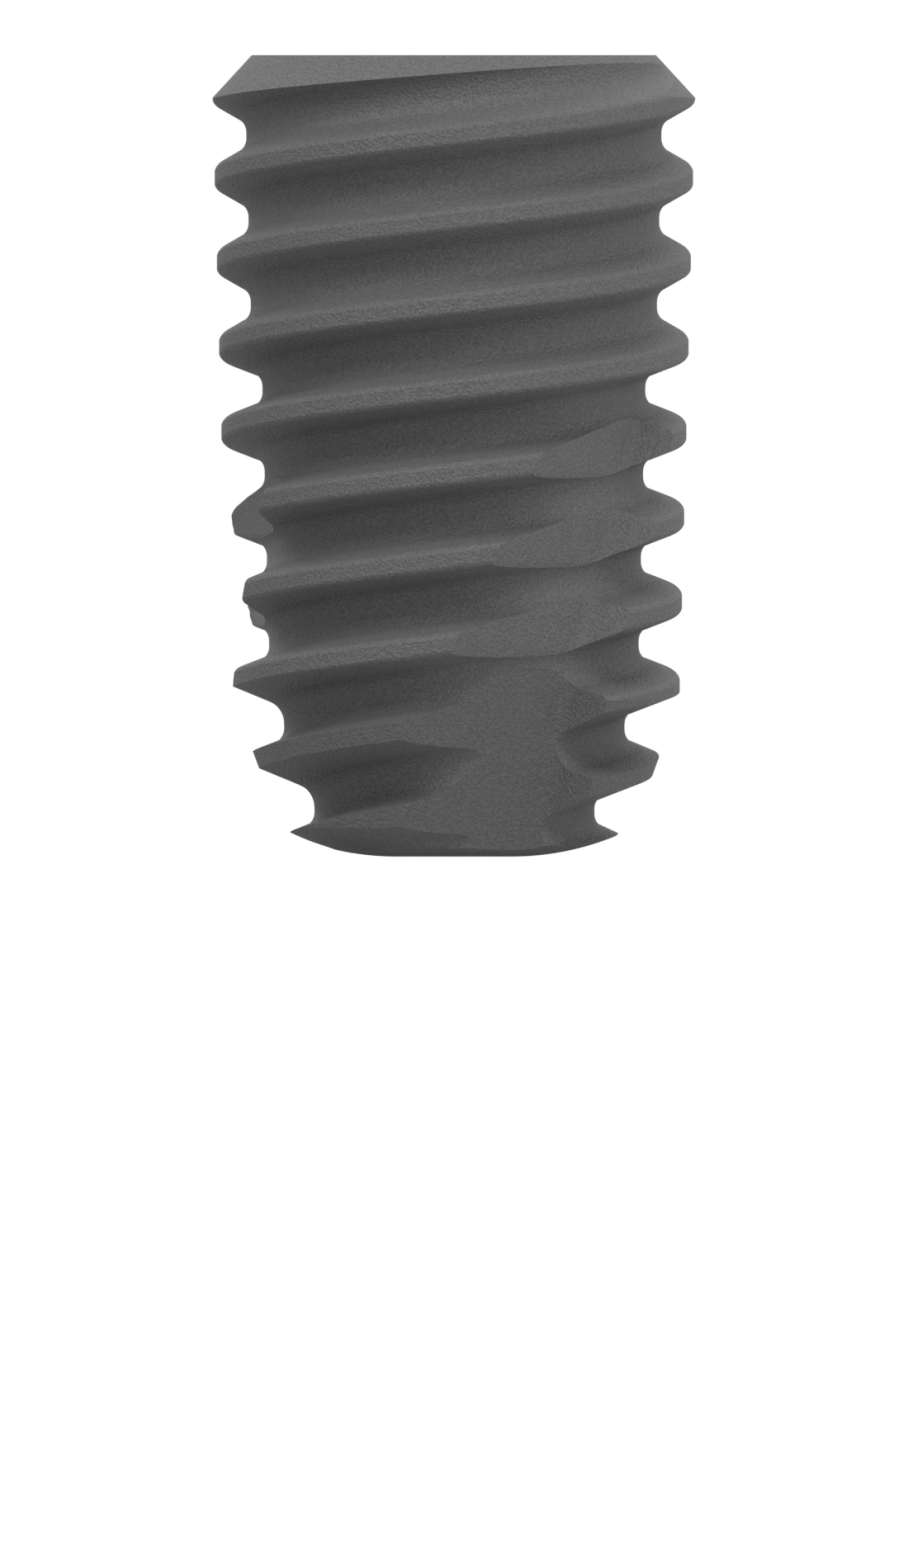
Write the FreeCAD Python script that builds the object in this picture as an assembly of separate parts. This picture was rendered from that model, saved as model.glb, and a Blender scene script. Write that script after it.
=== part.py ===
# Bone-level dental implant fixture, machined from one bar, in millimetres.
# The axis is Z, the platform is up, and the origin is the centre of the apex.
# Angles about the axis are in degrees from the front (-Y) towards +X.
import FreeCAD, Part
import math
import os

# Body without its thread: platform, bevelled neck, slim taper, cone and rounded apex
implant_length = 8.0
neck_radius = 2.408
neck_bevel_height = 0.425
neck_bevel_angle = 42.6
body_taper = 1.5
apex_cone_height = 1.563
apex_cone_angle = 19.6
apex_flat_radius = 0.577
apex_dome_radius = 2.735

# Right-hand thread with two starts, whose grooves run out at both ends
thread_starts = 2
thread_lead = 1.691
thread_front_height = 6.775
root_cone_height = 1.647

# Groove section near the platform, and the deeper one below it. The crest keeps a narrow
# flat land of the blank, whose rounded shoulders meet it at a small angle.
upper_groove_depth = 0.3265
upper_root_width = 0.289
upper_flank_angle = 29.4
lower_groove_depth = 0.421
lower_root_width = 0.333
lower_flank_angle = 20.0
root_fillet = 0.197
crest_land_width = 0.131
crest_shoulder_angle = 15.0
deepening_start_height = 5.50
deepening_end_height = 4.66

# Cutting flutes: a twisted relief across the crests, one after the other from the front
flute_count = 3
relief_top_heights = (4.51, 4.23, 3.95)
relief_bottom_height = 1.40
relief_front_height = 3.0
relief_angle = 50.7
relief_twist = 11.45
relief_depth = 0.351
relief_floor_facing = -7.2
relief_wall_facing = -54.7
relief_fillet = 0.25

# The deeper straight pocket in which each flute ends at the apex
pocket_top_heights = (1.87, 2.08, 2.08)
pocket_front_height = 1.137
pocket_angle = 39.6
pocket_valley_radius = 1.608
pocket_outward_lean = 19.3
pocket_sideways_lean = 4.2
pocket_floor_facing = -13.1
pocket_wall_facing = -72.5
pocket_fillet = 0.25

# Socket: conical seat, internal hexagon and blind bore for the abutment screw
seat_mouth_radius = 1.50
seat_angle = 45.0
hexagon_across_flats = 2.42
hexagon_depth = 1.60
screw_bore_radius = 0.73
screw_bore_depth = 5.0
drill_point_angle = 59.0

# The cutting shapes reach past the metal by these margins
outside_margin = 0.35
end_margin = 0.45

# The thread's rounds are taken as flats between these directions, and its helix in spans
root_flat_end = 20.0
sections_per_turn = 12
relief_sections = 5


def polar(radius, angle, height):
    turn = math.radians(angle)
    return FreeCAD.Vector(radius * math.sin(turn), -radius * math.cos(turn), height)


def slope(angle):
    return math.tan(math.radians(angle))


def in_section(radius, height):
    return FreeCAD.Vector(radius, 0, height)


def wire_of(edges):
    return Part.Wire(Part.__sortEdges__(edges))


def line(start, end):
    return Part.LineSegment(start, end).toShape()


def arc(start, middle, end):
    return Part.Arc(start, middle, end).toShape()


# Radius of the slim taper at a height, carried on past both of its ends
def taper_radius(height):
    neck_height = implant_length - neck_bevel_height
    return neck_radius - slope(body_taper) * (neck_height - height)


# The point where the apex cone meets the arc of the dome
def dome_corner():
    centre = in_section(apex_flat_radius, apex_dome_radius)
    start = in_section(taper_radius(apex_cone_height), apex_cone_height)
    cone = math.radians(apex_cone_angle)
    down = in_section(-math.sin(cone), -math.cos(cone))
    offset = start - centre
    along = offset.dot(down)
    reach = math.sqrt(along ** 2 - offset.dot(offset) + apex_dome_radius ** 2) - along
    return start + down * reach


# Half of the section through the axis, without the thread
def blank_section():
    centre = in_section(apex_flat_radius, apex_dome_radius)
    corner = dome_corner()
    half_turn = math.asin((corner.x - apex_flat_radius) / apex_dome_radius) / 2.0
    sag = in_section(math.sin(half_turn), -math.cos(half_turn)) * apex_dome_radius
    flat_edge = in_section(apex_flat_radius, 0)
    platform_radius = neck_radius - neck_bevel_height * slope(neck_bevel_angle)
    corners = [
        corner,
        in_section(taper_radius(apex_cone_height), apex_cone_height),
        in_section(neck_radius, implant_length - neck_bevel_height),
        in_section(platform_radius, implant_length),
        in_section(0, implant_length),
        in_section(0, 0),
        flat_edge,
    ]
    edges = [line(a, b) for a, b in zip(corners, corners[1:])]
    edges.append(arc(flat_edge, centre + sag, corner))
    return Part.Face(wire_of(edges))


# Share of the way from the upper groove section to the lower one
def deepening(height):
    reach = deepening_start_height - deepening_end_height
    share = min(max((deepening_start_height - height) / reach, 0.0), 1.0)
    return share * share * (3.0 - 2.0 * share)


# Radius of the groove's bottom at a height
def root_radius(height):
    share = deepening(height)
    depth = upper_groove_depth + (lower_groove_depth - upper_groove_depth) * share
    cone_drop = slope(apex_cone_angle) * max(root_cone_height - height, 0.0)
    return taper_radius(max(height, root_cone_height)) - depth - cone_drop


# One side of the groove's section, from its root out past the crest, as pairs of
# radius and distance from the groove's middle
def groove_side(height, side):
    share = deepening(height)
    width = upper_root_width + (lower_root_width - upper_root_width) * share
    flank = upper_flank_angle + (lower_flank_angle - upper_flank_angle) * share
    half_pitch = thread_lead / thread_starts / 2.0
    root = root_radius(height)
    crest = taper_radius(height + side * half_pitch)
    turn = math.radians(90.0 - flank)
    land = math.radians(crest_shoulder_angle)
    land_distance = half_pitch - crest_land_width / 2.0
    gap = land_distance - width / 2.0 - (crest - root) * slope(flank)
    shoulder = gap * math.sin(turn) / (1.0 - math.cos(turn - land))
    fillet_distance = width / 2.0 - root_fillet * math.tan(turn / 2.0)
    points = []
    for angle in (math.radians(root_flat_end), turn):
        radius = root + root_fillet * (1.0 - math.cos(angle))
        points.append((radius, fillet_distance + root_fillet * math.sin(angle)))
    for angle in (turn, land):
        radius = crest - shoulder * (math.cos(land) - math.cos(angle))
        points.append((radius, land_distance + shoulder * (math.sin(land) - math.sin(angle))))
    points.append((neck_radius + outside_margin, land_distance))
    return points


def groove_section(height, angle):
    up = [polar(radius, angle, height + away) for radius, away in groove_side(height, 1)]
    down = [polar(radius, angle, height - away) for radius, away in groove_side(height, -1)]
    return Part.makePolygon(up + down[::-1] + up[:1])


# The groove's stretch round the front half of the body, which it passes at this height.
# One more section at each end keeps its curve true where the two halves meet.
def groove_pass(front_height):
    step = 360 // sections_per_turn
    sections = []
    for angle in range(-90 - step, 91 + step, step):
        sections.append(groove_section(front_height + thread_lead * angle / 360.0, angle))
    return Part.makeLoft(sections, True, False)


# Half of the threaded body. Two starts make the other half the same, turned about.
def front_half():
    half = blank_section().revolve(FreeCAD.Vector(0, 0, 0), FreeCAD.Vector(0, 0, -1), 180)
    pitch = thread_lead / thread_starts
    lowest = thread_front_height - pitch * math.ceil(thread_front_height / pitch)
    passes = []
    height = lowest
    while height < implant_length + end_margin:
        passes.append(groove_pass(height))
        height += pitch
    return half.cut(passes)


# Outline of a flute at one height: a floor and a wall that meet in a rounded valley.
# Both are given by the direction that they face, measured from the valley's own angle.
def flute_section(height, valley_radius, angle, floor_facing, wall_facing, fillet):
    floor_turn = math.radians(floor_facing)
    wall_turn = math.radians(wall_facing)
    floor_way = (math.sin(floor_turn), -math.cos(floor_turn))
    wall_way = (-math.sin(wall_turn), math.cos(wall_turn))
    half = (floor_turn - wall_turn) / 2.0
    trim = fillet * math.tan(half)
    reach = neck_radius + outside_margin
    bisector = (floor_turn + wall_turn) / 2.0
    rise = fillet / math.cos(half) - fillet

    def place(out, across):
        out += valley_radius
        return polar(math.hypot(out, across), angle + math.degrees(math.atan2(across, out)), height)

    floor_end = place(floor_way[0] * reach, floor_way[1] * reach)
    floor_start = place(floor_way[0] * trim, floor_way[1] * trim)
    valley = place(rise * math.cos(bisector), rise * math.sin(bisector))
    wall_start = place(wall_way[0] * trim, wall_way[1] * trim)
    wall_end = place(wall_way[0] * reach, wall_way[1] * reach)
    outer = place(2.0 * reach, 0.0)
    return Part.Wire([
        line(floor_end, floor_start),
        arc(floor_start, valley, wall_start),
        line(wall_start, wall_end),
        line(wall_end, outer),
        line(outer, floor_end),
    ])


# The relief keeps its depth below the taper and twists about the axis
def relief(top_height):
    step = (top_height - relief_bottom_height) / (relief_sections - 1)
    sections = []
    for index in range(relief_sections):
        height = relief_bottom_height + index * step
        sections.append(flute_section(
            height,
            taper_radius(height) - relief_depth,
            relief_angle + relief_twist * (height - relief_front_height),
            relief_floor_facing,
            relief_wall_facing,
            relief_fillet,
        ))
    return Part.makeLoft(sections, True, False)


# The pocket is straight and leans outwards as it rises, as the apex cone does
def pocket(top_height):
    bottom = flute_section(
        pocket_front_height,
        pocket_valley_radius,
        pocket_angle,
        pocket_floor_facing,
        pocket_wall_facing,
        pocket_fillet,
    )
    outward = polar(slope(pocket_outward_lean), pocket_angle, 0)
    sideways = polar(slope(pocket_sideways_lean), pocket_angle - 90.0, 0)
    upward = outward + sideways + FreeCAD.Vector(0, 0, 1)
    bottom.translate(upward * (-end_margin - pocket_front_height))
    return Part.Face(bottom).extrude(upward * (top_height + end_margin))


# Conical seat, hexagon for the driver and bore with a drilled end
def socket():
    seat_depth = (seat_mouth_radius - hexagon_across_flats / 2.0) / slope(seat_angle)
    mouth = Part.makeCone(
        seat_mouth_radius - seat_depth * slope(seat_angle),
        seat_mouth_radius + end_margin * slope(seat_angle),
        seat_depth + end_margin,
        FreeCAD.Vector(0, 0, implant_length - seat_depth),
    )
    corner_radius = hexagon_across_flats / 2.0 / math.cos(math.pi / 6.0)
    floor = implant_length - hexagon_depth
    corners = [polar(corner_radius, 60.0 * index + 30.0, floor) for index in range(7)]
    hexagon = Part.Face(Part.makePolygon(corners))
    hexagon = hexagon.extrude(FreeCAD.Vector(0, 0, hexagon_depth - seat_depth / 2.0))
    bore_end = implant_length - screw_bore_depth
    bore = Part.makeCylinder(
        screw_bore_radius,
        floor - bore_end + end_margin,
        FreeCAD.Vector(0, 0, bore_end),
    )
    point_depth = screw_bore_radius / slope(drill_point_angle)
    point = Part.makeCone(
        0,
        screw_bore_radius,
        point_depth,
        FreeCAD.Vector(0, 0, bore_end - point_depth),
    )
    return mouth.fuse([hexagon, bore, point])


def implant_fixture():
    front = front_half()
    back = front.copy()
    back.rotate(FreeCAD.Vector(0, 0, 0), FreeCAD.Vector(0, 0, 1), 180)
    body = front.fuse(back).cut(socket())
    for index in range(flute_count):
        flute = relief(relief_top_heights[index]).fuse(pocket(pocket_top_heights[index]))
        flute.rotate(FreeCAD.Vector(0, 0, 0), FreeCAD.Vector(0, 0, 1), 360.0 * index / flute_count)
        body = body.cut(flute)
    return body


os.makedirs("parts", exist_ok=True)
implant_fixture().exportStep("parts/implant_fixture.step")
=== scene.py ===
import bpy
import bmesh
import math
from mathutils import Matrix, Vector

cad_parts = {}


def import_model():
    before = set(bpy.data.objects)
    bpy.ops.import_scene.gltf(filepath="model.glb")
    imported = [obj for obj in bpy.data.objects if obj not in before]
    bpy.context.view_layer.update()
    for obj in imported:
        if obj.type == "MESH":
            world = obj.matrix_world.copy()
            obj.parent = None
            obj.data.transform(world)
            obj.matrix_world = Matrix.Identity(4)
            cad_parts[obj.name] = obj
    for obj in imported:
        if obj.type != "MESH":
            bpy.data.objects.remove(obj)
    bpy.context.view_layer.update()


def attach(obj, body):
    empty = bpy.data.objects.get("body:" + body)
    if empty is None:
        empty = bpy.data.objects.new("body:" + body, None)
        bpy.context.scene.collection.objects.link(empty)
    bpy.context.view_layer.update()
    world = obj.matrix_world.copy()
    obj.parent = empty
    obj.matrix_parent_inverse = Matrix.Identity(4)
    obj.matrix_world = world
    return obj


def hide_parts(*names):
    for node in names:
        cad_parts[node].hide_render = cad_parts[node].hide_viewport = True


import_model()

# The implant is modelled in millimetres about its own axis, apex down at the origin,
# and turned into metres at the end. Angles run from the front (-Y) towards +X, in degrees.
MM = 0.001

# Body without its thread
LENGTH = 8.0
NECK_RADIUS = 2.408
NECK_BEVEL_HEIGHT = 0.425
NECK_BEVEL_ANGLE = 42.6
BODY_TAPER = 1.5
CONE_HEIGHT = 1.563
CONE_ANGLE = 19.6
APEX_FLAT_RADIUS = 0.577
DOME_RADIUS = 2.735

# Thread: two starts, right-handed
STARTS = 2
LEAD = 1.691
PITCH = LEAD / STARTS
THREAD_FRONT_HEIGHT = 6.775
ROOT_CONE_HEIGHT = 1.647
DEEPENING_START = 5.50
DEEPENING_END = 4.66
UPPER_GROOVE = {"depth": 0.3265, "root": 0.289, "flank": 29.4}
LOWER_GROOVE = {"depth": 0.421, "root": 0.333, "flank": 20.0}
ROOT_FILLET = 0.197
CREST_LAND_WIDTH = 0.131
CREST_SHOULDER_ANGLE = 15.0
LEAST_CREST = 0.003
LEAST_SHOULDER = 0.001

# Flutes: relief across the crests, and the straight pocket in the apex
FLUTES = 3
RELIEF_TOPS = (4.51, 4.23, 3.95)
RELIEF_BOTTOM = 1.40
RELIEF_FRONT_HEIGHT = 3.0
RELIEF_ANGLE = 50.7
RELIEF_TWIST = 11.45
RELIEF_DEPTH = 0.351
RELIEF_FLOOR_FACING = -7.2
RELIEF_WALL_FACING = -54.7
RELIEF_FILLET = 0.25
POCKET_TOPS = (1.87, 2.08, 2.08)
POCKET_FRONT_HEIGHT = 1.137
POCKET_ANGLE = 39.6
POCKET_VALLEY_RADIUS = 1.608
POCKET_OUTWARD_LEAN = 19.3
POCKET_SIDEWAYS_LEAN = 4.2
POCKET_FLOOR_FACING = -13.1
POCKET_WALL_FACING = -72.5
POCKET_FILLET = 0.25

# Socket, with the fine thread for the abutment screw
SEAT_MOUTH_RADIUS = 1.50
SEAT_ANGLE = 45.0
HEXAGON_ACROSS_FLATS = 2.42
HEXAGON_DEPTH = 1.60
BORE_RADIUS = 0.73
BORE_DEPTH = 5.0
DRILL_POINT_ANGLE = 59.0
SCREW_MAJOR_RADIUS = 0.90
SCREW_PITCH = 0.35
SCREW_DEPTH = 4.7
SCREW_OVERLAP = 0.01
# Where its groove opens, reaches full depth, leaves it and closes, as shares of its pitch
SCREW_GROOVE = (0.06, 0.44, 0.56, 0.94)

# Mesh fineness, and how far the cutting solids reach past what they cut
COLUMNS = 160
ROOT_STEPS = 7
SHOULDER_STEPS = 5
RELIEF_LEVELS = 28
VALLEY_STEPS = 10
BORE_COLUMNS = 72
DOME_STEPS = 20
RING = 192
SMOOTH_ANGLE = 12.0
MERGE_DISTANCE = 0.00001
ROD_TIP = 1.0
MARGIN = 0.3

# Blasted and etched titanium. The grain and the cloudiness are in cells a metre, and the
# grain's height is in metres.
METALLIC = 0.2
SPECULAR_LEVEL = 0.1
SPECULAR_TINT = (0.4, 0.4, 0.4, 1.0)
# The grain's colour from its pits to its tops: a random tone, with painted shade in the
# pits
PIT_TONE_AND_PAINTED_SHADE = (0.1135, 0.1145, 0.114, 1.0)
TONE_LIGHT = (0.1435, 0.145, 0.1445, 1.0)
TONE_RANGE = (0.35, 0.65)
ROUGHNESS_RANGE = (0.5, 0.62)
GRAIN_SCALE = 38000.0
GRAIN_HEIGHT = 0.000022
CLOUD_SCALE = 1400.0

# Floor, and the glow with which it lights the object, which rises from one level to the
# other between two places across it. Sizes are in metres.
FLOOR_HALF = 0.5
FLOOR_COLOUR = (0.5, 0.5, 0.5, 1.0)
FLOOR_ROUGHNESS = 0.9
GLOW_PLACES = (-0.002, 0.03)
GLOW_LEVELS = (0.73, 1.8)

# Light: the sky's level from the horizon up, times its level from left to right, and
# strips of soft light with their places in metres and their power in watts
SKY_UPWARD = (0.43, 0.52)
SKY_SIDEWAYS = (0.72, 1.30)
WHITE = 1.0
STRIP_LENGTH = 0.30
STRIP_WIDTH = 0.07
STRIPS = (
    ("front_strip", (-0.03, -0.09, 0.135), 0.26),
    ("right_strip", (0.14, -0.04, 0.07), 0.036),
    ("back_strip", (0.0, 0.10, 0.13), 0.16),
)

# The photograph looks straight at the side, without perspective
PHOTO_HEIGHT = 1900
PHOTO_CENTRE = (550.0, 950.0)
PHOTO_APEX = (549.85, 1038.0)
PIXELS_PER_MM = 121.4
CAMERA_DISTANCE = 0.06
CAMERA_NEAR = 0.001
CAMERA_FAR = 2.0


def polar(radius, angle, height):
    turn = math.radians(angle)
    return Vector((radius * math.sin(turn), -radius * math.cos(turn), height))


def slope(angle):
    return math.tan(math.radians(angle))


def smooth_share(value, start, end):
    share = min(max((start - value) / (start - end), 0.0), 1.0)
    return share * share * (3.0 - 2.0 * share)


def taper_radius(height):
    return NECK_RADIUS - slope(BODY_TAPER) * (LENGTH - NECK_BEVEL_HEIGHT - height)


def new_object(name, vertices, faces):
    mesh = bpy.data.meshes.new(name)
    mesh.from_pydata([tuple(v) for v in vertices], [], faces)
    mesh.validate()
    tidy = bmesh.new()
    tidy.from_mesh(mesh)
    bmesh.ops.recalc_face_normals(tidy, faces=tidy.faces)
    tidy.to_mesh(mesh)
    tidy.free()
    piece = bpy.data.objects.new(name, mesh)
    bpy.context.scene.collection.objects.link(piece)
    return piece


# Groove sizes at a height, between the upper section and the deeper lower one
def groove_sizes(height):
    share = smooth_share(height, DEEPENING_START, DEEPENING_END)
    return {
        key: UPPER_GROOVE[key] * (1 - share) + LOWER_GROOVE[key] * share
        for key in UPPER_GROOVE
    }


def root_radius(height, sizes):
    drop = slope(CONE_ANGLE) * max(ROOT_CONE_HEIGHT - height, 0.0)
    return taper_radius(max(height, ROOT_CONE_HEIGHT)) - sizes["depth"] - drop


# Half of a groove's section, from the middle of its root to the middle of the crest,
# as pairs of radius and distance from the groove's middle. The crest stays below the
# point where it would run out between its flanks, so that the section never folds.
def groove_half(height, side):
    sizes = groove_sizes(height)
    flank = sizes["flank"]
    half_pitch = PITCH / 2.0
    half_root = sizes["root"] / 2.0
    root = root_radius(height, sizes)
    middle = height + side * half_pitch
    middle_sizes = groove_sizes(middle)
    reach = (half_pitch - half_root - LEAST_CREST) / slope(flank)
    blank = min(taper_radius(middle), NECK_RADIUS)
    crest = min(blank, root + reach)
    crest_middle = min(blank, root_radius(middle, middle_sizes) + reach)
    turn = math.radians(90.0 - flank)
    land = math.radians(CREST_SHOULDER_ANGLE)
    corner = half_root + (crest - root) * slope(flank)
    land_distance = max(half_pitch - CREST_LAND_WIDTH / 2.0, corner + LEAST_SHOULDER)
    shoulder = (land_distance - corner) * math.sin(turn) / (1.0 - math.cos(turn - land))
    fillet_distance = half_root - ROOT_FILLET * math.tan(turn / 2.0)
    points = [(root, 0.0)]
    for step in range(ROOT_STEPS + 1):
        angle = turn * step / ROOT_STEPS
        points.append((
            root + ROOT_FILLET * (1.0 - math.cos(angle)),
            fillet_distance + ROOT_FILLET * math.sin(angle),
        ))
    for step in range(SHOULDER_STEPS + 1):
        angle = turn + (land - turn) * step / SHOULDER_STEPS
        points.append((
            crest - shoulder * (math.cos(land) - math.cos(angle)),
            land_distance + shoulder * (math.sin(land) - math.sin(angle)),
        ))
    points.append((crest_middle, half_pitch))
    return points


# A closed helical rod from its columns. Each column lists its points from the bottom up,
# and after a full turn the pattern has climbed by a whole number of rows.
def helical_rod(name, columns, rows_per_turn):
    count = len(columns)
    rows = len(columns[0])
    vertices = [point for column in columns for point in column]

    def index(column, row):
        if column == count:
            return row + rows_per_turn
        return column * rows + row

    faces = []
    for column in range(count):
        last = rows - 1 - (rows_per_turn if column == count - 1 else 0)
        for row in range(last):
            faces.append((
                index(column, row),
                index(column + 1, row),
                index(column + 1, row + 1),
                index(column, row + 1),
            ))
    bottom = [index(column, 0) for column in range(count)]
    bottom += [index(0, row) for row in range(rows_per_turn, 0, -1)]
    top = [index(column, rows - 1) for column in range(count)]
    top += [index(count - 1, row) for row in range(rows - 2, rows - 2 - rows_per_turn, -1)]
    lowest = min(v.z for v in vertices) - ROD_TIP
    highest = max(v.z for v in vertices) + ROD_TIP
    vertices += [Vector((0, 0, lowest)), Vector((0, 0, highest))]
    for ring, tip in ((bottom, len(vertices) - 2), (top, len(vertices) - 1)):
        for here, there in zip(ring, ring[1:] + ring[:1]):
            faces.append((here, there, tip))
    return new_object(name, vertices, faces)


def thread_rod():
    grooves_down = math.ceil((THREAD_FRONT_HEIGHT + LEAD + MARGIN) / PITCH)
    first = THREAD_FRONT_HEIGHT - PITCH * grooves_down
    grooves = math.ceil((LENGTH + MARGIN - first) / PITCH) + 1
    columns = []
    for step in range(COLUMNS):
        angle = 360.0 * step / COLUMNS
        column = []
        for groove in range(grooves):
            height = first + PITCH * groove + LEAD * angle / 360.0
            down = [(radius, -away) for radius, away in groove_half(height, -1)]
            up = groove_half(height, 1)
            section = down[:0:-1] + up[:-1]
            column += [polar(radius, angle, height + away) for radius, away in section]
        columns.append(column)
    rows_per_groove = len(columns[0]) // grooves
    return helical_rod("thread_rod", columns, rows_per_groove * STARTS)


# A solid of revolution from its outline, as pairs of radius and height from the bottom up.
# The first and the last point lie on the axis.
def turned(name, outline):
    vertices = [Vector((0, 0, outline[0][1]))]
    for radius, height in outline[1:-1]:
        vertices += [polar(radius, 360.0 * step / RING, height) for step in range(RING)]
    vertices.append(Vector((0, 0, outline[-1][1])))
    rings = len(outline) - 2
    faces = []
    for step in range(RING):
        after = (step + 1) % RING
        faces.append((0, 1 + after, 1 + step))
        for ring in range(rings - 1):
            low = 1 + ring * RING
            high = low + RING
            faces.append((low + step, low + after, high + after, high + step))
        top = 1 + (rings - 1) * RING
        faces.append((top + step, top + after, len(vertices) - 1))
    return new_object(name, vertices, faces)


# Everything inside the neck's bevel, the apex cone and the dome, and wider than the crests
def envelope():
    wide = NECK_RADIUS + MARGIN
    cone = math.radians(CONE_ANGLE)
    cone_radius = taper_radius(CONE_HEIGHT)
    start = Vector((cone_radius - APEX_FLAT_RADIUS, CONE_HEIGHT - DOME_RADIUS))
    down = Vector((-math.sin(cone), -math.cos(cone)))
    along = start.dot(down)
    reach = math.sqrt(along ** 2 - start.dot(start) + DOME_RADIUS ** 2) - along
    corner_turn = math.asin((start + down * reach).x / DOME_RADIUS)
    outline = [(0.0, 0.0)]
    for step in range(DOME_STEPS + 1):
        turn = corner_turn * step / DOME_STEPS
        outline.append((
            APEX_FLAT_RADIUS + DOME_RADIUS * math.sin(turn),
            DOME_RADIUS * (1.0 - math.cos(turn)),
        ))
    outline.append((wide, CONE_HEIGHT + (wide - cone_radius) / math.tan(cone)))
    bevel_start = LENGTH - NECK_BEVEL_HEIGHT
    outline.append((wide, bevel_start - (wide - NECK_RADIUS) / slope(NECK_BEVEL_ANGLE)))
    outline.append((NECK_RADIUS - NECK_BEVEL_HEIGHT * slope(NECK_BEVEL_ANGLE), LENGTH))
    outline.append((0.0, LENGTH))
    return turned("envelope", outline)


# A flute's outline at one height, as points about the axis: a floor and a wall that meet
# in a rounded valley, given by the directions that they face from the valley's own angle
def flute_section(height, valley_radius, angle, floor_facing, wall_facing, fillet):
    floor_turn = math.radians(floor_facing)
    wall_turn = math.radians(wall_facing)
    half = (floor_turn - wall_turn) / 2.0
    middle = (floor_turn + wall_turn) / 2.0
    reach = NECK_RADIUS + MARGIN
    centre = Vector((math.cos(middle), math.sin(middle))) * (fillet / math.cos(half))
    outline = [Vector((math.sin(floor_turn), -math.cos(floor_turn))) * reach]
    for step in range(VALLEY_STEPS + 1):
        turn = floor_turn + (wall_turn - floor_turn) * step / VALLEY_STEPS
        outline.append(centre - Vector((math.cos(turn), math.sin(turn))) * fillet)
    outline.append(Vector((-math.sin(wall_turn), math.cos(wall_turn))) * reach)
    outline.append(Vector((2.0 * reach, 0.0)))
    points = []
    for point in outline:
        out = valley_radius + point.x
        across = math.degrees(math.atan2(point.y, out))
        points.append(polar(math.hypot(out, point.y), angle + across, height))
    return points


def skin_sections(name, sections):
    count = len(sections[0])
    vertices = [point for section in sections for point in section]
    faces = [tuple(range(count))]
    faces.append(tuple(range(len(vertices) - count, len(vertices)))[::-1])
    for level in range(len(sections) - 1):
        for step in range(count):
            after = (step + 1) % count
            low = level * count
            high = low + count
            faces.append((low + step, low + after, high + after, high + step))
    return new_object(name, vertices, faces)


# The relief keeps its depth below the taper and twists about the axis
def relief_cutter(turn, top):
    sections = []
    for level in range(RELIEF_LEVELS + 1):
        height = RELIEF_BOTTOM + (top - RELIEF_BOTTOM) * level / RELIEF_LEVELS
        sections.append(flute_section(
            height,
            taper_radius(height) - RELIEF_DEPTH,
            RELIEF_ANGLE + RELIEF_TWIST * (height - RELIEF_FRONT_HEIGHT) + turn,
            RELIEF_FLOOR_FACING,
            RELIEF_WALL_FACING,
            RELIEF_FILLET,
        ))
    return skin_sections("relief", sections)


# The pocket is straight and leans outwards as it rises
def pocket_cutter(turn, top):
    outward = polar(slope(POCKET_OUTWARD_LEAN), POCKET_ANGLE + turn, 0.0)
    sideways = polar(slope(POCKET_SIDEWAYS_LEAN), POCKET_ANGLE + turn - 90.0, 0.0)
    upward = outward + sideways + Vector((0, 0, 1))
    section = flute_section(
        POCKET_FRONT_HEIGHT,
        POCKET_VALLEY_RADIUS,
        POCKET_ANGLE + turn,
        POCKET_FLOOR_FACING,
        POCKET_WALL_FACING,
        POCKET_FILLET,
    )
    low = [point + upward * (-MARGIN - POCKET_FRONT_HEIGHT) for point in section]
    high = [point + upward * (top - POCKET_FRONT_HEIGHT) for point in section]
    return skin_sections("pocket", [low, high])


def seat_and_bore_cutter():
    seat_depth = (SEAT_MOUTH_RADIUS - HEXAGON_ACROSS_FLATS / 2.0) / slope(SEAT_ANGLE)
    bore_end = LENGTH - BORE_DEPTH
    seat_end = LENGTH - seat_depth
    return turned("seat_and_bore", [
        (0.0, bore_end - BORE_RADIUS / slope(DRILL_POINT_ANGLE)),
        (BORE_RADIUS, bore_end),
        (BORE_RADIUS, seat_end - MARGIN),
        (HEXAGON_ACROSS_FLATS / 2.0 - MARGIN, seat_end - MARGIN),
        (HEXAGON_ACROSS_FLATS / 2.0, seat_end),
        (SEAT_MOUTH_RADIUS + MARGIN * slope(SEAT_ANGLE), LENGTH + MARGIN),
        (0.0, LENGTH + MARGIN),
    ])


def hexagon_cutter():
    corner = HEXAGON_ACROSS_FLATS / 2.0 / math.cos(math.pi / 6.0)
    sections = []
    for height in (LENGTH - HEXAGON_DEPTH, LENGTH - MARGIN / 2.0):
        sections.append([polar(corner, 60.0 * step + 30.0, height) for step in range(6)])
    return skin_sections("hexagon", sections)


# The fine thread of the bore, as a single-start rod with narrow flat crests
def screw_cutter():
    first = LENGTH - SCREW_DEPTH
    turns = math.ceil((SCREW_DEPTH - HEXAGON_DEPTH) / SCREW_PITCH) + 1
    inner = BORE_RADIUS - SCREW_OVERLAP
    radii = (inner, SCREW_MAJOR_RADIUS, SCREW_MAJOR_RADIUS, inner)
    columns = []
    for step in range(BORE_COLUMNS):
        angle = 360.0 * step / BORE_COLUMNS
        column = []
        for turn in range(turns):
            height = first + SCREW_PITCH * (turn + angle / 360.0)
            for radius, share in zip(radii, SCREW_GROOVE):
                column.append(polar(radius, angle, height + SCREW_PITCH * share))
        columns.append(column)
    return helical_rod("screw_thread", columns, len(SCREW_GROOVE))


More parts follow.
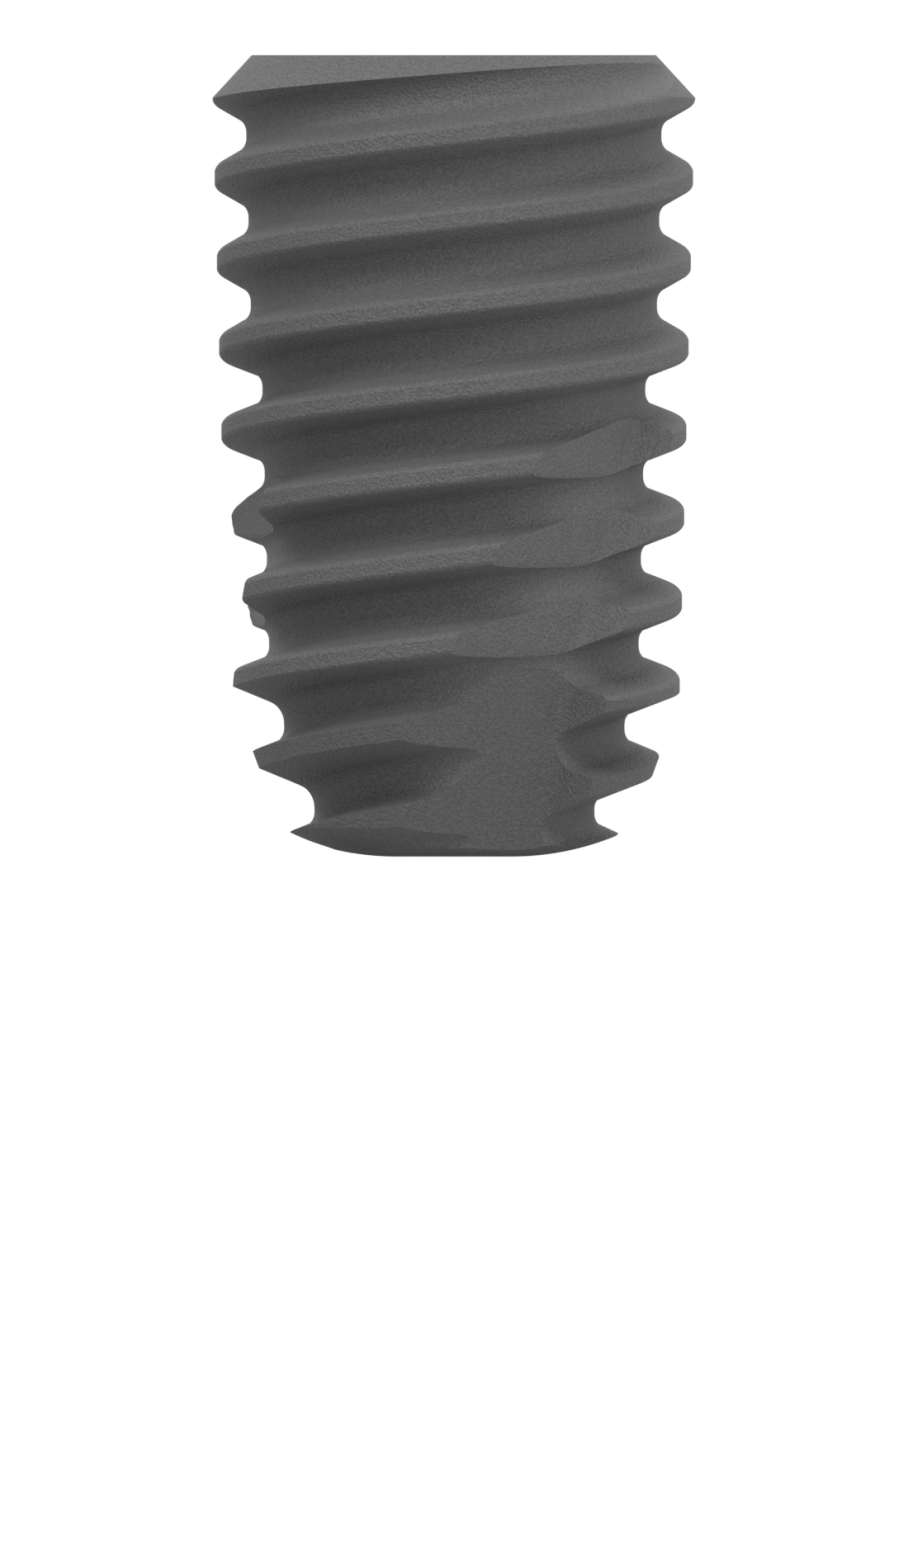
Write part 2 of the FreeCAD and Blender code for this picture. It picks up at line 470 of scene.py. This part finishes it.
def combine(body, tool, operation):
    modifier = body.modifiers.new(operation.lower(), "BOOLEAN")
    modifier.operation = operation
    modifier.solver = "MANIFOLD"
    modifier.object = tool
    graph = bpy.context.evaluated_depsgraph_get()
    mesh = bpy.data.meshes.new_from_object(body.evaluated_get(graph))
    body.modifiers.clear()
    old = body.data
    body.data = mesh
    bpy.data.meshes.remove(old)
    tool_mesh = tool.data
    bpy.data.objects.remove(tool)
    bpy.data.meshes.remove(tool_mesh)


# The cuts leave slivers whose corners all but coincide
def merge_close_points(body):
    tidy = bmesh.new()
    tidy.from_mesh(body.data)
    bmesh.ops.remove_doubles(tidy, verts=tidy.verts, dist=MERGE_DISTANCE)
    tidy.to_mesh(body.data)
    tidy.free()


def implant():
    body = thread_rod()
    combine(body, envelope(), "INTERSECT")
    for index in range(FLUTES):
        turn = 360.0 * index / FLUTES
        combine(body, relief_cutter(turn, RELIEF_TOPS[index]), "DIFFERENCE")
        combine(body, pocket_cutter(turn, POCKET_TOPS[index]), "DIFFERENCE")
    combine(body, seat_and_bore_cutter(), "DIFFERENCE")
    combine(body, hexagon_cutter(), "DIFFERENCE")
    combine(body, screw_cutter(), "DIFFERENCE")
    merge_close_points(body)
    body.name = "implant_body"
    body.data.name = "implant_body"
    body.data.transform(Matrix.Scale(MM, 4))
    body.data.shade_smooth()
    body.data.set_sharp_from_angle(angle=math.radians(SMOOTH_ANGLE))
    return body


def node(tree, kind, **values):
    made = tree.nodes.new(kind)
    for key, value in values.items():
        if key in made.inputs.keys():
            made.inputs[key].default_value = value
        else:
            setattr(made, key, value)
    return made


# A value taken from one range to another
def spread(tree, value, places, levels):
    made = node(tree, "ShaderNodeMapRange")
    for key, number in zip(("From Min", "From Max", "To Min", "To Max"), places + levels):
        made.inputs[key].default_value = number
    tree.links.new(value, made.inputs["Value"])
    return made.outputs["Result"]


# Dark and matte, with a fine pitted grain whose pits are painted darker, as painted shade
def blasted_titanium():
    material = bpy.data.materials.new("blasted_titanium")
    material.use_nodes = True
    tree = material.node_tree
    link = tree.links.new
    shader = tree.nodes["Principled BSDF"]
    shader.inputs["Metallic"].default_value = METALLIC
    shader.inputs["Specular IOR Level"].default_value = SPECULAR_LEVEL
    shader.inputs["Specular Tint"].default_value = SPECULAR_TINT
    place = node(tree, "ShaderNodeTexCoord")
    grain = node(tree, "ShaderNodeTexNoise", Scale=GRAIN_SCALE, Detail=1.0, Roughness=0.5)
    cloud = node(tree, "ShaderNodeTexNoise", Scale=CLOUD_SCALE, Detail=2.0, Roughness=0.5)
    for texture in (grain, cloud):
        link(place.outputs["Object"], texture.inputs["Vector"])
    # The grain's tone varies at random, and its pits, the low side of the same noise as the
    # bump, get painted shade
    tone_and_pit_shade = node(tree, "ShaderNodeValToRGB")
    stops = zip(tone_and_pit_shade.color_ramp.elements, TONE_RANGE, (PIT_TONE_AND_PAINTED_SHADE, TONE_LIGHT))
    for stop, position, colour in stops:
        stop.position = position
        stop.color = colour
    link(grain.outputs["Fac"], tone_and_pit_shade.inputs["Fac"])
    link(tone_and_pit_shade.outputs["Color"], shader.inputs["Base Color"])
    rough = spread(tree, cloud.outputs["Fac"], (0.0, 1.0), ROUGHNESS_RANGE)
    link(rough, shader.inputs["Roughness"])
    bump = node(tree, "ShaderNodeBump", Strength=1.0, Distance=GRAIN_HEIGHT)
    link(grain.outputs["Fac"], bump.inputs["Height"])
    link(bump.outputs["Normal"], shader.inputs["Normal"])
    return material


# Pale and shadowed for the camera. Where it lights the object from below it is a soft glow
# instead, which gets stronger to the right.
def floor_material():
    material = bpy.data.materials.new("pale_floor")
    material.use_nodes = True
    tree = material.node_tree
    link = tree.links.new
    shader = tree.nodes["Principled BSDF"]
    shader.inputs["Base Color"].default_value = FLOOR_COLOUR
    shader.inputs["Roughness"].default_value = FLOOR_ROUGHNESS
    place = node(tree, "ShaderNodeTexCoord")
    ways = node(tree, "ShaderNodeSeparateXYZ")
    link(place.outputs["Object"], ways.inputs[0])
    glow = node(tree, "ShaderNodeEmission")
    link(spread(tree, ways.outputs["X"], GLOW_PLACES, GLOW_LEVELS), glow.inputs["Strength"])
    path = node(tree, "ShaderNodeLightPath")
    mix = node(tree, "ShaderNodeMixShader")
    link(path.outputs["Is Diffuse Ray"], mix.inputs[0])
    link(shader.outputs[0], mix.inputs[1])
    link(glow.outputs[0], mix.inputs[2])
    link(mix.outputs[0], tree.nodes["Material Output"].inputs["Surface"])
    return material


def floor():
    corners = [
        (-FLOOR_HALF, -FLOOR_HALF, 0),
        (FLOOR_HALF, -FLOOR_HALF, 0),
        (FLOOR_HALF, FLOOR_HALF, 0),
        (-FLOOR_HALF, FLOOR_HALF, 0),
    ]
    mesh = bpy.data.meshes.new("floor")
    mesh.from_pydata(corners, [], [(0, 1, 2, 3)])
    mesh.materials.append(floor_material())
    piece = bpy.data.objects.new("floor", mesh)
    bpy.context.scene.collection.objects.link(piece)


# A wide strip of soft light, aimed at the object from above
def strip_light(name, place, power):
    data = bpy.data.lights.new(name, "AREA")
    data.shape = "RECTANGLE"
    data.size = STRIP_LENGTH
    data.size_y = STRIP_WIDTH
    data.energy = power
    light = bpy.data.objects.new(name, data)
    light.location = place
    aim = Vector((0.0, 0.0, LENGTH * MM / 2.0)) - Vector(place)
    light.rotation_euler = aim.to_track_quat("-Z", "Y").to_euler()
    bpy.context.scene.collection.objects.link(light)


# A soft studio: white for the camera, for gloss and for glass, and for other light a grey
# sky that is a little brighter at the top and clearly brighter at the right
def world():
    made = bpy.data.worlds.new("studio")
    made.use_nodes = True
    tree = made.node_tree
    link = tree.links.new
    back = tree.nodes["Background"]
    place = node(tree, "ShaderNodeTexCoord")
    ways = node(tree, "ShaderNodeSeparateXYZ")
    link(place.outputs["Generated"], ways.inputs[0])
    light = node(tree, "ShaderNodeMath", operation="MULTIPLY")
    link(spread(tree, ways.outputs["Z"], (0.0, 1.0), SKY_UPWARD), light.inputs[0])
    link(spread(tree, ways.outputs["X"], (-1.0, 1.0), SKY_SIDEWAYS), light.inputs[1])
    path = node(tree, "ShaderNodeLightPath")
    seen = path.outputs["Is Camera Ray"]
    for ray in ("Is Glossy Ray", "Is Transmission Ray"):
        either = node(tree, "ShaderNodeMath", operation="MAXIMUM")
        link(seen, either.inputs[0])
        link(path.outputs[ray], either.inputs[1])
        seen = either.outputs[0]
    strength = node(tree, "ShaderNodeMix", B=WHITE)
    link(seen, strength.inputs["Factor"])
    link(light.outputs[0], strength.inputs["A"])
    link(strength.outputs[0], back.inputs["Strength"])
    back.inputs["Color"].default_value = (WHITE, WHITE, WHITE, 1.0)
    bpy.context.scene.world = made


def camera():
    data = bpy.data.cameras.new("camera")
    data.type = "ORTHO"
    data.ortho_scale = PHOTO_HEIGHT / PIXELS_PER_MM * MM
    data.clip_start = CAMERA_NEAR
    data.clip_end = CAMERA_FAR
    piece = bpy.data.objects.new("camera", data)
    across = (PHOTO_CENTRE[0] - PHOTO_APEX[0]) / PIXELS_PER_MM * MM
    height = (PHOTO_APEX[1] - PHOTO_CENTRE[1]) / PIXELS_PER_MM * MM
    piece.location = (across, -CAMERA_DISTANCE, height)
    piece.rotation_euler = (math.radians(90.0), 0.0, 0.0)
    bpy.context.scene.collection.objects.link(piece)
    bpy.context.scene.camera = piece


# The cuts leave an empty material slot on the body, which goes before its own comes
body = implant()
body.data.materials.clear()
body.data.materials.append(blasted_titanium())
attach(body, "root")
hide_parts("implant_fixture")

floor()
world()
for strip in STRIPS:
    strip_light(*strip)
camera()
bpy.context.scene.view_settings.view_transform = "Standard"
